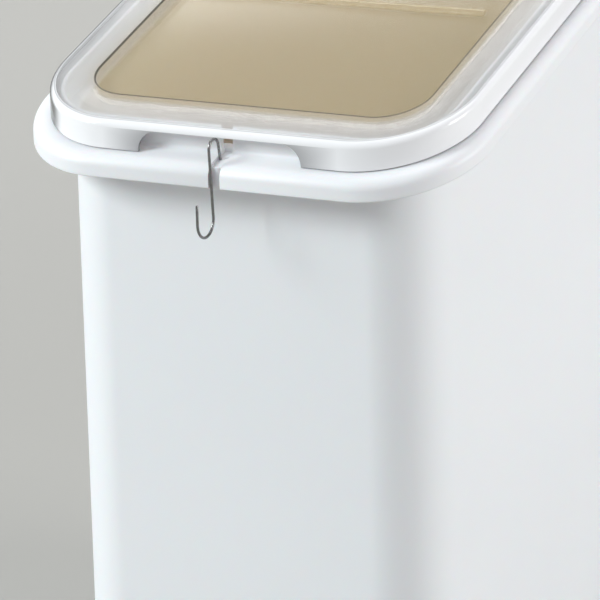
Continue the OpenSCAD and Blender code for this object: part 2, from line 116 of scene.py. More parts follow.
@dataclass(frozen=True)
class PlanOutline:
    """A rounded rectangle seen from above, from which nested outlines are inset.

    A point on any of the nested outlines is a corner centre or a point of the
    straight sides, plus a distance along the outward normal.
    """

    half_w: float
    y_front: float
    y_back: float
    radius: float
    segments: int = 20

    def start(self, bm: bmesh.types.BMesh, inset: float, depth: float) -> list:
        """Makes the first closed loop of a skin.

        Args:
            bm: Mesh to add to.
            inset: Distance inside the outline.
            depth: Distance below the roof line.

        Returns:
            The loop's edges.
        """
        corners = [
            (-self.half_w, self.y_front),
            (self.half_w, self.y_front),
            (self.half_w, self.y_back),
            (-self.half_w, self.y_back),
        ]
        verts = [bm.verts.new((x, y, 0.0)) for x, y in corners]
        bm.faces.new(verts)
        made = bmesh.ops.bevel(
            bm, geom=verts, offset=self.radius, offset_type="OFFSET", segments=self.segments,
            profile=ROUND, affect="VERTICES", clamp_overlap=False, material=-1,
        )
        loop = set(made["verts"])
        edges = [e for e in bm.edges if e.verts[0] in loop and e.verts[1] in loop]
        faces = [f for f in bm.faces if all(v in loop for v in f.verts)]
        bmesh.ops.delete(bm, geom=faces, context="FACES_ONLY")
        self.place([v for v in loop if v.is_valid], inset, depth)
        return [e for e in edges if e.is_valid]

    def place(self, verts: Iterable, inset: float, depth: float) -> None:
        """Moves a loop's points to a nested outline.

        Args:
            verts: The loop's points.
            inset: Distance inside the outline.
            depth: Distance below the roof line.
        """
        lim_x = self.half_w - self.radius
        for v in verts:
            core = Vector((
                max(-lim_x, min(lim_x, v.co.x)),
                max(self.y_front + self.radius, min(self.y_back - self.radius, v.co.y)),
                0.0,
            ))
            out = Vector((v.co.x, v.co.y, 0.0)) - core
            out.normalize()
            spot = core + out * (self.radius - inset)
            v.co = Vector((spot.x, spot.y, -depth))

    def inset_of(self, x: float, y: float) -> float:
        """Returns how far inside the outline a point of the plan lies.

        Args:
            x: Place across the bin.
            y: Place along the bin.

        Returns:
            The distance, negative outside the outline.
        """
        dx = abs(x) - (self.half_w - self.radius)
        mid = (self.y_front + self.y_back) / 2
        dy = abs(y - mid) - ((self.y_back - self.y_front) / 2 - self.radius)
        if dx > 0 and dy > 0:
            return self.radius - math.hypot(dx, dy)
        return self.radius - max(dx, dy)

    def grow(self, bm: bmesh.types.BMesh, edges: list, inset: float, depth: float) -> list:
        """Extrudes a loop to the next nested outline.

        Args:
            bm: Mesh to add to.
            edges: The last loop's edges.
            inset: Distance inside the outline.
            depth: Distance below the roof line.

        Returns:
            The new loop's edges.
        """
        made = bmesh.ops.extrude_edge_only(bm, edges=edges)["geom"]
        verts = points_of(made)
        self.place(verts, inset, depth)
        fresh = set(verts)
        return [
            g for g in made
            if isinstance(g, bmesh.types.BMEdge) and g.verts[0] in fresh and g.verts[1] in fresh
        ]

    def skin(self, bm: bmesh.types.BMesh, profile: Sequence) -> tuple:
        """Lofts a whole profile round the outline.

        Args:
            bm: Mesh to add to.
            profile: Pairs of inset and depth, in order.

        Returns:
            The first and the last loop's edges.
        """
        first = edges = self.start(bm, *profile[0])
        for inset, depth in profile[1:]:
            edges = self.grow(bm, edges, inset, depth)
        return first, edges


def arc(centre: tuple, radius: float, start: float, end: float, steps: int) -> list:
    """Lists the points of a rounding in a profile.

    Args:
        centre: Inset and depth of the rounding's centre.
        radius: Radius of the rounding.
        start: First angle in degrees; 0 points inwards, 90 upwards.
        end: Last angle in degrees.
        steps: Number of segments.

    Returns:
        Pairs of inset and depth.
    """
    points = []
    for i in range(steps + 1):
        a = math.radians(start + (end - start) * i / steps)
        points.append((centre[0] + radius * math.cos(a), centre[1] - radius * math.sin(a)))
    return points


# Mesh finishing


def recalc(bm: bmesh.types.BMesh) -> None:
    """Merges doubles and turns every face of closed skins outwards."""
    bmesh.ops.remove_doubles(bm, verts=bm.verts, dist=MERGE_GAP)
    bmesh.ops.recalc_face_normals(bm, faces=bm.faces)


def points_of(made: Iterable) -> list:
    """Returns the points among the elements that an operator made."""
    return [item for item in made if isinstance(item, bmesh.types.BMVert)]


def link(obj: bpy.types.Object) -> None:
    """Puts an object into the scene."""
    bpy.context.scene.collection.objects.link(obj)


def round_off(
    bm: bmesh.types.BMesh, edges: list, offset: float, segments: int, clamp: bool = False
) -> None:
    """Rounds edges of a mesh.

    Args:
        bm: Mesh to change.
        edges: The edges.
        offset: Radius of the rounding.
        segments: Segments of the rounding.
        clamp: Whether roundings stop where they would meet.
    """
    bmesh.ops.bevel(
        bm, geom=edges, offset=offset, segments=segments, profile=ROUND, affect="EDGES",
        clamp_overlap=clamp, material=-1,
    )


def thicken(bm: bmesh.types.BMesh, vec: tuple) -> None:
    """Extrudes a flat mesh into a solid.

    Args:
        bm: Mesh to change.
        vec: How far its faces are extruded.
    """
    made = bmesh.ops.extrude_face_region(bm, geom=bm.faces[:])["geom"]
    bmesh.ops.translate(bm, vec=vec, verts=points_of(made))
    bmesh.ops.recalc_face_normals(bm, faces=bm.faces)


def to_object(
    bm: bmesh.types.BMesh, name: str, surface: Surface = Surface.CRISP
) -> bpy.types.Object:
    """Turns a mesh in millimetres into a piece in metres.

    Args:
        bm: Mesh in millimetres; it is freed.
        name: Name of the piece.
        surface: Sharpest angle that is still shaded smooth.

    Returns:
        The new object.
    """
    bmesh.ops.scale(bm, vec=(MM, MM, MM), verts=bm.verts)
    mesh = bpy.data.meshes.new(name)
    bm.to_mesh(mesh)
    bm.free()
    for poly in mesh.polygons:
        poly.use_smooth = True
    mesh.set_sharp_from_angle(angle=surface.value)
    obj = bpy.data.objects.new(name, mesh)
    link(obj)
    return obj


def report(obj: bpy.types.Object) -> None:
    """Reports a finished piece."""
    LOG.info("%s: %d faces", obj.name, len(obj.data.polygons))


def carve(bm: bmesh.types.BMesh, tool: bmesh.types.BMesh, operation: str) -> bmesh.types.BMesh:
    """Cuts one closed mesh with another.

    Args:
        bm: Mesh that is cut; it is freed.
        tool: Mesh that cuts or joins; it is freed.
        operation: DIFFERENCE or UNION.

    Returns:
        The result, as a new mesh.
    """
    body = bpy.data.objects.new("carve_body", bpy.data.meshes.new("carve_body"))
    cutter = bpy.data.objects.new("carve_tool", bpy.data.meshes.new("carve_tool"))
    for source, obj in ((bm, body), (tool, cutter)):
        source.to_mesh(obj.data)
        source.free()
        link(obj)
    step = body.modifiers.new("cut", "BOOLEAN")
    step.operation = operation
    step.solver = "EXACT"
    step.object = cutter
    bpy.context.view_layer.update()
    graph = bpy.context.evaluated_depsgraph_get()
    result = bmesh.new()
    result.from_mesh(bpy.data.meshes.new_from_object(body.evaluated_get(graph)))
    for obj in (body, cutter):
        bpy.data.objects.remove(obj)
    return result


def bar(
    size: Sequence, centre: Sequence, soften: float = 0.0, segments: int = 3
) -> bmesh.types.BMesh:
    """Makes a block, with rounded edges where it needs them.

    Args:
        size: Lengths along X, Y and Z.
        centre: Place of its middle.
        soften: Radius of its edges.
        segments: Segments of each rounding.

    Returns:
        The new mesh.
    """
    bm = bmesh.new()
    bmesh.ops.create_cube(bm, size=1.0)
    bmesh.ops.scale(bm, vec=size, verts=bm.verts)
    bmesh.ops.translate(bm, vec=centre, verts=bm.verts)
    if soften > 0.0:
        round_off(bm, bm.edges[:], soften, segments)
    return bm


def paint(obj: bpy.types.Object, name: str, value: Callable) -> None:
    """Stores a mask on a piece's points, for its finish to read.

    Args:
        obj: The piece.
        name: Name of the mask.
        value: Gives the mask for a point in millimetres.
    """
    layer = obj.data.attributes.new(name, "FLOAT", "POINT")
    for point, item in zip(obj.data.vertices, layer.data):
        item.value = value(point.co / MM)


def append(bm: bmesh.types.BMesh, other: bmesh.types.BMesh) -> None:
    """Adds a mesh to another.

    Args:
        bm: Mesh to add to.
        other: Mesh that is added; it is freed.
    """
    mesh = bpy.data.meshes.new("part")
    other.to_mesh(mesh)
    other.free()
    bm.from_mesh(mesh)
    bpy.data.meshes.remove(mesh)


def soften_between(
    bm: bmesh.types.BMesh, chosen: Callable, offset: float, segments: int = 3
) -> None:
    """Rounds the sharp edges that a test picks.

    Args:
        bm: Mesh to change.
        chosen: Says for an edge's middle whether it is rounded.
        offset: Radius of the rounding.
        segments: Segments of the rounding.
    """
    edges = []
    for e in bm.edges:
        if len(e.link_faces) == 2 and e.calc_face_angle(0.0) > SHARP:
            if chosen((e.verts[0].co + e.verts[1].co) / 2):
                edges.append(e)
    if edges:
        round_off(bm, edges, offset, segments, clamp=True)


# Shared effects for materials


def put_node(
    nodes: bpy.types.Nodes, kind: str, values: dict | None = None, **settings: object
) -> bpy.types.Node:
    """Adds a shader node.

    Args:
        nodes: Nodes of a material or a group.
        kind: Type of the node.
        values: Value of each input that is set, by name or number.
        **settings: The node's own settings.

    Returns:
        The node.
    """
    node = nodes.new(kind)
    for key, setting in settings.items():
        setattr(node, key, setting)
    for key, value in (values or {}).items():
        node.inputs[key].default_value = value
    return node


@dataclass
class EffectGroup:
    """A shader node group with named inputs and outputs, built once."""

    name: str
    inputs: dict
    outputs: dict
    tree: bpy.types.NodeTree = field(init=False)
    source: bpy.types.Node = field(init=False)
    sink: bpy.types.Node = field(init=False)

    def __post_init__(self) -> None:
        """Makes the empty group with its sockets."""
        self.tree = bpy.data.node_groups.new(self.name, "ShaderNodeTree")
        for label, value in self.inputs.items():
            socket = self.tree.interface.new_socket(
                name=label, in_out="INPUT", socket_type="NodeSocketFloat"
            )
            socket.default_value = value
        for label, kind in self.outputs.items():
            self.tree.interface.new_socket(name=label, in_out="OUTPUT", socket_type=kind)
        self.source = self.tree.nodes.new("NodeGroupInput")
        self.sink = self.tree.nodes.new("NodeGroupOutput")

    def add(self, kind: str, values: dict | None = None, **settings: object) -> bpy.types.Node:
        """Adds a node to the group, as put_node does."""
        return put_node(self.tree.nodes, kind, values, **settings)

    def join(self, out: bpy.types.NodeSocket, into: bpy.types.NodeSocket) -> None:
        """Links two sockets."""
        self.tree.links.new(out, into)


def make_grain_group() -> EffectGroup:
    """Builds the fine moulded grain: an uneven value and a height.

    Returns:
        The group, with Value between 0 and 1 and Height for a Bump node.
    """
    group = EffectGroup(
        "moulded_grain",
        {"Scale": 900.0, "Broad Scale": 6.0, "Broad Share": 0.5},
        {"Value": "NodeSocketFloat", "Height": "NodeSocketFloat"},
    )
    coords = group.add("ShaderNodeTexCoord")
    fine = group.add("ShaderNodeTexNoise", {"Detail": 3.0})
    broad = group.add("ShaderNodeTexNoise", {"Detail": 2.0})
    for tex, label in ((fine, "Scale"), (broad, "Broad Scale")):
        group.join(coords.outputs["Object"], tex.inputs["Vector"])
        group.join(group.source.outputs[label], tex.inputs["Scale"])
    mix = group.add("ShaderNodeMix", data_type="FLOAT")
    group.join(group.source.outputs["Broad Share"], mix.inputs["Factor"])
    group.join(fine.outputs["Fac"], mix.inputs[FLOAT_A])
    group.join(broad.outputs["Fac"], mix.inputs[FLOAT_B])
    group.join(mix.outputs[FLOAT_OUT], group.sink.inputs["Value"])
    group.join(fine.outputs["Fac"], group.sink.inputs["Height"])
    return group


def make_wear_group() -> EffectGroup:
    """Builds sparse hairline scratches and smudges.

    Returns:
        The group, with a Mask between 0 and 1 and a Height for a Bump node.
    """
    group = EffectGroup(
        "hairline_wear",
        {"Scale": 60.0, "Stretch": 14.0, "Amount": 0.5},
        {"Mask": "NodeSocketFloat", "Height": "NodeSocketFloat"},
    )
    coords = group.add("ShaderNodeTexCoord")
    stretch = group.add("ShaderNodeCombineXYZ", {"X": 1.0, "Z": 1.0})
    group.join(group.source.outputs["Stretch"], stretch.inputs["Y"])
    scaled = group.add("ShaderNodeVectorMath", operation="MULTIPLY")
    group.join(coords.outputs["Object"], scaled.inputs[0])
    group.join(stretch.outputs["Vector"], scaled.inputs[1])
    lines = group.add("ShaderNodeTexNoise", {"Detail": 6.0})
    group.join(scaled.outputs["Vector"], lines.inputs["Vector"])
    group.join(group.source.outputs["Scale"], lines.inputs["Scale"])
    ramp = group.add("ShaderNodeMapRange", {"From Min": 0.52, "From Max": 0.72})
    group.join(lines.outputs["Fac"], ramp.inputs["Value"])
    share = group.add("ShaderNodeMath", operation="MULTIPLY")
    group.join(ramp.outputs["Result"], share.inputs[0])
    group.join(group.source.outputs["Amount"], share.inputs[1])
    group.join(share.outputs["Value"], group.sink.inputs["Mask"])
    group.join(lines.outputs["Fac"], group.sink.inputs["Height"])
    return group


# Finishes


@dataclass(frozen=True)
class Mask:
    """A painted mask: the colour, and for clear finishes the alpha, that it brings."""

    name: str
    colour: tuple
    alpha: float | None = None


@dataclass(frozen=True)
class Finish:
    """A surface finish: two near colours, a roughness range and a bump.

    The grain group spreads the colours and the roughness over the surface.
    """

    name: str
    light: tuple
    dark: tuple
    rough: tuple = (0.4, 0.5)
    metallic: float = 0.0
    grain_scale: float = 900.0
    broad_scale: float = 6.0
    broad_share: float = 0.5
    bump: float = 0.05
    bump_distance: float = 0.0002
    wear: float = 0.0
    wear_scale: float = 60.0
    alpha: float = 1.0
    masks: tuple = ()
    # The rim: a colour laid where the surface turns away from view, a painted shade at grazing
    # angles, with its alpha and the span of the facing value
    rim: tuple | None = None
    grazing_shade_alpha: float = 0.9
    grazing_shade_span: tuple = (0.72, 0.97)
    sockets: dict = field(default_factory=dict)

    def build(self, grain: EffectGroup, wear: EffectGroup) -> bpy.types.Material:
        """Makes the material.

        Args:
            grain: The moulded grain group.
            wear: The hairline wear group.

        Returns:
            The finished material.
        """
        mat = bpy.data.materials.new(self.name)
        mat.use_nodes = True
        nodes, links = mat.node_tree.nodes, mat.node_tree.links
        shader = nodes["Principled BSDF"]
        shader.inputs["Metallic"].default_value = self.metallic
        shader.inputs["Alpha"].default_value = self.alpha
        for label, value in self.sockets.items():
            shader.inputs[label].default_value = value
        fine = put_node(nodes, "ShaderNodeGroup", {}, node_tree=grain.tree)
        fine.inputs["Scale"].default_value = self.grain_scale
        fine.inputs["Broad Scale"].default_value = self.broad_scale
        fine.inputs["Broad Share"].default_value = self.broad_share
        ends = {COLOUR_A: (*self.dark, 1.0), COLOUR_B: (*self.light, 1.0)}
        colour = put_node(nodes, "ShaderNodeMix", ends, data_type="RGBA")
        links.new(fine.outputs["Value"], colour.inputs["Factor"])
        self.mask_in(nodes, links, shader, colour.outputs[COLOUR_OUT])
        span = {"To Min": self.rough[0], "To Max": self.rough[1]}
        rough = put_node(nodes, "ShaderNodeMapRange", span)
        links.new(fine.outputs["Value"], rough.inputs["Value"])
        last = rough.outputs["Result"]
        if self.wear > 0.0:
            marks = put_node(nodes, "ShaderNodeGroup", {}, node_tree=wear.tree)
            marks.inputs["Amount"].default_value = self.wear
            marks.inputs["Scale"].default_value = self.wear_scale
            total = put_node(nodes, "ShaderNodeMath", operation="ADD", use_clamp=True)
            links.new(last, total.inputs[0])
            links.new(marks.outputs["Mask"], total.inputs[1])
            last = total.outputs["Value"]
        links.new(last, shader.inputs["Roughness"])
        relief = {"Strength": self.bump, "Distance": self.bump_distance}
        bump = put_node(nodes, "ShaderNodeBump", relief)
        links.new(fine.outputs["Height"], bump.inputs["Height"])
        links.new(bump.outputs["Normal"], shader.inputs["Normal"])
        return mat

    def mask_in(
        self, nodes: bpy.types.Nodes, links: bpy.types.NodeLinks,
        shader: bpy.types.Node, colour: bpy.types.NodeSocket,
    ) -> None:
        """Lays the rim's painted shade at grazing angles and the painted masks over the base
        colour and the alpha.

        Args:
            nodes: The material's nodes.
            links: The material's links.
            shader: The Principled BSDF.
            colour: Socket of the base colour so far.
        """
        alpha = None
        # Painted shade: the colour turns to the rim colour where the surface turns away from view
        if self.rim is not None:
            facing = put_node(nodes, "ShaderNodeLayerWeight", {"Blend": 0.5})
            edge = put_node(
                nodes, "ShaderNodeMapRange",
                {"From Min": self.grazing_shade_span[0], "From Max": self.grazing_shade_span[1]},
                interpolation_type="SMOOTHSTEP",
            )
            links.new(facing.outputs["Facing"], edge.inputs["Value"])
            grazing_shade = put_node(
                nodes, "ShaderNodeMix", {COLOUR_B: (*self.rim, 1.0)}, data_type="RGBA"
            )
            links.new(edge.outputs["Result"], grazing_shade.inputs["Factor"])
            links.new(colour, grazing_shade.inputs[COLOUR_A])
            colour = grazing_shade.outputs[COLOUR_OUT]
            cover = put_node(
                nodes, "ShaderNodeMapRange", {"To Min": self.alpha, "To Max": self.grazing_shade_alpha}
            )
            links.new(edge.outputs["Result"], cover.inputs["Value"])
            alpha = cover.outputs["Result"]
        for mask in self.masks:
            read = put_node(nodes, "ShaderNodeAttribute", attribute_name=mask.name)
            over = put_node(
                nodes, "ShaderNodeMix", {COLOUR_B: (*mask.colour, 1.0)}, data_type="RGBA"
            )
            links.new(read.outputs["Fac"], over.inputs["Factor"])
            links.new(colour, over.inputs[COLOUR_A])
            colour = over.outputs[COLOUR_OUT]
            if mask.alpha is None:
                continue
            see = put_node(nodes, "ShaderNodeMix", {FLOAT_B: mask.alpha}, data_type="FLOAT")
            links.new(read.outputs["Fac"], see.inputs["Factor"])
            if alpha is None:
                see.inputs[FLOAT_A].default_value = self.alpha
            else:
                links.new(alpha, see.inputs[FLOAT_A])
            alpha = see.outputs[FLOAT_OUT]
        links.new(colour, shader.inputs["Base Color"])
        if alpha is not None:
            links.new(alpha, shader.inputs["Alpha"])


@dataclass
class FinishShelf:
    """All the finishes of the bin, built once."""

    grain: EffectGroup = field(init=False)
    wear: EffectGroup = field(init=False)
    built: dict = field(default_factory=dict)

    def __post_init__(self) -> None:
        """Builds the shared groups."""
        self.grain = make_grain_group()
        self.wear = make_wear_group()

    def get(self, finish: Finish) -> bpy.types.Material:
        """Returns the material of a finish, made at its first use.

        Args:
            finish: The finish.

        Returns:
            Its material.
        """
        if finish.name not in self.built:
            self.built[finish.name] = finish.build(self.grain, self.wear)
        return self.built[finish.name]

    def dress(self, obj: bpy.types.Object, finish: Finish) -> None:
        """Puts a finish on a piece or a carried-over node.

        Args:
            obj: The piece.
            finish: The finish.
        """
        mat = self.get(finish)
        if not obj.material_slots:
            obj.data.materials.append(mat)
        for slot in obj.material_slots:
            slot.material = mat

    def dress_faces(self, obj: bpy.types.Object, finish: Finish, chosen: Callable) -> None:
        """Puts a second finish on some faces of a piece.

        Args:
            obj: The piece, already dressed.
            finish: The second finish.
            chosen: Says for a face's middle, in millimetres, whether it gets the finish.
        """
        obj.data.materials.append(self.get(finish))
        slot = len(obj.material_slots) - 1
        for face in obj.data.polygons:
            if chosen(face.center / MM):
                face.material_index = slot


WHITE_TUB = Finish(
    "white_polyethylene", light=(0.86, 0.87, 0.885), dark=(0.82, 0.835, 0.855),
    rough=(0.38, 0.5), bump=0.12, bump_distance=0.0003, broad_share=0.6,
    # The inside mask paints the inner faces a darker warm tan: painted shade of the interior
    # under the lid
    masks=(Mask("inside", (0.8, 0.78, 0.7)),),
    sockets={"Subsurface Weight": 0.15, "Subsurface Scale": 0.01, "Specular IOR Level": 0.45},
)
CLEAR_LID = Finish(
    "clear_polycarbonate", light=(0.95, 0.945, 0.93), dark=(0.92, 0.915, 0.9),
    rough=(0.05, 0.09), bump=0.01, wear=0.03, wear_scale=45.0, alpha=0.26,
    masks=(
        Mask("haze", (0.98, 0.985, 0.995), 0.95),
        # Tan that stands for the shaded interior seen through the sheet, strongest on the panel:
        # painted shade
        Mask("amber_painted_shade", (0.74, 0.61, 0.36), 0.42),
        # Dark lines at the panel's edge, the cut-out's rim, the band's crease and the skirt's
        # foot, where the bent clear edges look dark: painted shade
        Mask("edge_line_painted_shade", (0.06, 0.05, 0.035), 0.92),
    ),
    # The rim colour darkens the sheet where it turns away from view: painted shade at grazing
    # angles
    rim=(0.42, 0.42, 0.41), grazing_shade_alpha=0.6,
    sockets={"Transmission Weight": 0.4, "IOR": 1.45},
)
MILKY_EDGE = Finish(
    "milky_polycarbonate_edge", light=(0.985, 0.99, 1.0), dark=(0.965, 0.97, 0.98),
    rough=(0.08, 0.14), bump=0.02, wear=0.06, wear_scale=30.0, alpha=0.93,
    # Dark lines at the band's crease, the cut-out's rim and the skirt's foot: painted shade
    masks=(Mask("edge_line_painted_shade", (0.1, 0.1, 0.11), 0.95),),
    # The rim colour darkens the skirt's outline where it turns away from view: painted shade at
    # grazing angles
    rim=(0.16, 0.16, 0.155), grazing_shade_alpha=0.9, grazing_shade_span=(0.55, 0.78),
    sockets={"Transmission Weight": 0.05, "IOR": 1.45},
)
STAINLESS = Finish(
    "stainless_wire", light=(0.3, 0.295, 0.29), dark=(0.2, 0.2, 0.2),
    rough=(0.2, 0.32), metallic=1.0, grain_scale=2500.0, broad_scale=60.0, bump=0.05,
    wear=0.15, wear_scale=200.0,
)
ZINC = Finish(
    "bright_zinc", light=(0.66, 0.67, 0.69), dark=(0.52, 0.53, 0.56),
    rough=(0.24, 0.42), metallic=1.0, grain_scale=700.0, broad_scale=90.0, bump=0.08,
    wear=0.2, wear_scale=90.0,
)
WHEEL_CORE = Finish(
    "wheel_core_plastic", light=(0.05, 0.05, 0.055), dark=(0.03, 0.03, 0.034),
    rough=(0.38, 0.55), grain_scale=1600.0, bump=0.15,
)
TREAD = Finish(
    "grey_tread", light=(0.16, 0.16, 0.165), dark=(0.11, 0.11, 0.115),
    rough=(0.6, 0.8), grain_scale=1200.0, broad_scale=40.0, bump=0.25, wear=0.15, wear_scale=50.0,
)
CAP_PLASTIC = Finish(
    "cap_plastic", light=(0.62, 0.62, 0.62), dark=(0.55, 0.55, 0.55),
    rough=(0.3, 0.4), grain_scale=1500.0, bump=0.08,
)


# The bin's sub-assemblies


@dataclass
class Tub:
    """The white moulded tub with its lip, flange, collar and hook groove."""

    roof: RoofLine
    plan: PlanOutline
    wall: float = 36.0
    wall_t: float = 4.0
    bottom_z: float = 100.0
    floor_t: float = 5.0
    bottom_r: float = 22.0
    flange_h: float = 24.5
    flange_t: float = 4.0
    lip_h: float = 18.0
    lip_r: float = 8.0
    collar: float = 24.5
    collar_t: float = 4.0
    collar_top: float = 3.5
    groove_w: float = 10.6
    groove_l: float = 6.0
    groove_h: float = 3.0
    groove_x: float = 1.4
    wall_top_r: float = 3.0
    flange_edge_r: float = 4.0
    lip_foot_r: float = 1.8
    collar_foot_r: float = 3.0
    collar_top_r: float = 1.6
    collar_back_r: float = 2.0
    throat_r: float = 3.0
    boss_wall: float = 4.0
    groove_edge: float = 1.0
    caster_x: float = 111.5
    caster_y: tuple = (-238.475, 262.525)
    pad: tuple = (69.0, 99.0, 9.0)
    pad_edge: float = 3.5
    # Depth below the flange over which the painted shade of the inner faces fades in
    inner_shade_fade: float = 4.0

    def profile(self) -> list:
        """Lists the tub's section, from the floor outside round to the floor inside.

        Returns:
            Pairs of inset and depth.
        """
        base = -FLOOR_LEVEL - self.bottom_z
        top = self.flange_h
        under = top + self.flange_t
        low = top + self.lip_h
        inner = self.wall + self.wall_t
        floor = base - self.floor_t
        inner_r = self.bottom_r - self.wall_t
        back = self.collar + self.collar_t
        turn = self.wall + self.bottom_r
        points = [(turn + 2, base), (turn, base)]
        points += arc((turn, base - self.bottom_r), self.bottom_r, 270, 180, 9)[1:]
        r = self.wall_top_r
        points += [(self.wall, base - self.bottom_r - 4), (self.wall, under + 2 * r)]
        points += arc((self.wall - r, under + r), r, 0, 90, 4)
        points += [(self.wall - 2 * r, under)]
        r = self.flange_edge_r
        points += [(self.flange_t + r + 1, under)]
        points += arc((self.flange_t + r, under + r), r, 90, 180, 4)
        r = self.lip_foot_r
        points += [(self.flange_t, low - 3)]
        points += arc((self.flange_t - r, low - r), r, 0, -90, 3)
        points += arc((r, low - r), r, 270, 180, 4)
        points += [(0, low - 3), (0, top + self.lip_r + 1)]
        points += arc((self.lip_r, top + self.lip_r), self.lip_r, 180, 90, 9)
        r = self.collar_foot_r
        points += [(self.lip_r + 1, top), (self.collar - r - 1, top)]
        points += arc((self.collar - r, top - r), r, 270, 360, 5)
        points += [(self.collar, top - r - 1), (self.collar, self.collar_top + 2.2)]
        r = self.collar_top_r
        points += arc((self.collar + r, self.collar_top + r), r, 180, 90, 4)
        points += arc((back - r, self.collar_top + r), r, 90, 0, 4)
        r = self.collar_back_r
        points += [(back, self.collar_top + 2.2), (back, top - r - 1)]
        points += arc((back + r, top - r), r, 180, 270, 3)
        points += [(back + r + 1, top)]
        r = self.throat_r
        points += [(inner - r - 1, top)]
        points += arc((inner - r, top + r), r, 90, 0, 5)
        points += [(inner, top + r + 1), (inner, floor - inner_r - 4)]
        points += arc((inner + inner_r, floor - inner_r), inner_r, 180, 270, 8)
        points += [(inner + inner_r + 2, floor)]
        return points

    def groove_tools(self) -> list:
        """Makes the boss round the hook's socket and the groove's two cutters.

        Returns:
            The boss, the upright slot in the lip and the slot over flange and collar.
        """
        y0 = self.plan.y_front
        back = self.collar + self.collar_t
        boss_h = self.lip_h - self.flange_t + 1.0
        boss_z = -(self.flange_h + self.flange_t - 1.0 + boss_h / 2)
        boss = bar(
            (self.groove_w + 2 * self.boss_wall, self.wall - 1.0, boss_h),
            (self.groove_x, y0 + self.wall / 2 + 1.4, boss_z), soften=self.groove_edge,
        )
        slot = bar((self.groove_w, 2 * self.groove_l, 100.0), (self.groove_x, y0, -60.0))
        depth = self.flange_h + self.groove_h
        across = bar(
            (self.groove_w, back + 12.0, 60.0),
            (self.groove_x, y0 + (back - 8.0) / 2, -depth + 30.0),
        )
        return [boss, slot, across]

    def mesh(self) -> bmesh.types.BMesh:
        """Builds the whole tub under a flat roof line.

        Returns:
            The new mesh.
        """
        bm = bmesh.new()
        for loop in self.plan.skin(bm, self.profile()):
            bmesh.ops.contextual_create(bm, geom=loop)
        recalc(bm)
        boss, slot, across = self.groove_tools()
        bm = carve(bm, boss, "UNION")
        for cutter in (slot, across):
            bm = carve(bm, cutter, "DIFFERENCE")
        limit = self.groove_w / 2 + 0.05
        reach = self.plan.y_front + self.collar + self.collar_t + 3.0
        lip_foot = -(self.flange_h + self.lip_h + 1.5)

        def at_groove(spot: Vector) -> bool:
            """Picks the groove's rims."""
            side = abs(abs(spot.x - self.groove_x) - limit) < 0.12
            return side and spot.y < reach and spot.z > lip_foot

        soften_between(bm, at_groove, self.groove_edge, 3)
        return bm

    def is_painted_inner_shade(self, point: Vector) -> float:
        """Says how far a point belongs to the tub's inner faces, which get a painted shade.

        Args:
            point: The point, in millimetres.

        Returns:
            A share between 0 and 1 of the painted shade, which rises below the level of the
            flange.
        """
        inset = self.plan.inset_of(point.x, point.y)
        below = self.roof.height(point.y) - point.z - self.flange_h
        if inset < self.wall + self.wall_t - 0.6 or point.z < self.bottom_z + self.floor_t - 1.0:
            return 0.0
        return max(0.0, min(1.0, below / self.inner_shade_fade))

    def drape(self, bm: bmesh.types.BMesh) -> None:
        """Bends the flat-roofed mesh to the roof line and sets the floor level.

        Args:
            bm: Mesh to change.
        """
        bmesh.ops.bisect_plane(
            bm, geom=bm.verts[:] + bm.edges[:] + bm.faces[:], dist=CUT_GAP,
            plane_co=(0, self.roof.crest_y, 0), plane_no=(0, 1, 0),
        )
        for v in bm.verts:
            if v.co.z < FLOOR_LEVEL / 2:
                v.co.z -= FLOOR_LEVEL
            else:
                v.co.z += self.roof.height(v.co.y)

    def build(self, shelf: FinishShelf) -> bpy.types.Object:
        """Makes the tub's piece in place of its node.

        Args:
            shelf: The finishes.

        Returns:
            The piece.
        """
        bm = self.mesh()
        self.drape(bm)
        pad_z = self.bottom_z + self.floor_t + 3.5
        for x in (-self.caster_x, self.caster_x):
            for y in self.caster_y:
                append(bm, bar(self.pad, (x, y, pad_z), soften=self.pad_edge))
        obj = to_object(bm, "tub")
        # Paints the darker tan of the inner faces: painted shade of the interior
        paint(obj, "inside", self.is_painted_inner_shade)
        shelf.dress(obj, WHITE_TUB)
        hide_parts("bin_body")
        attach(obj, "bin")
        return obj


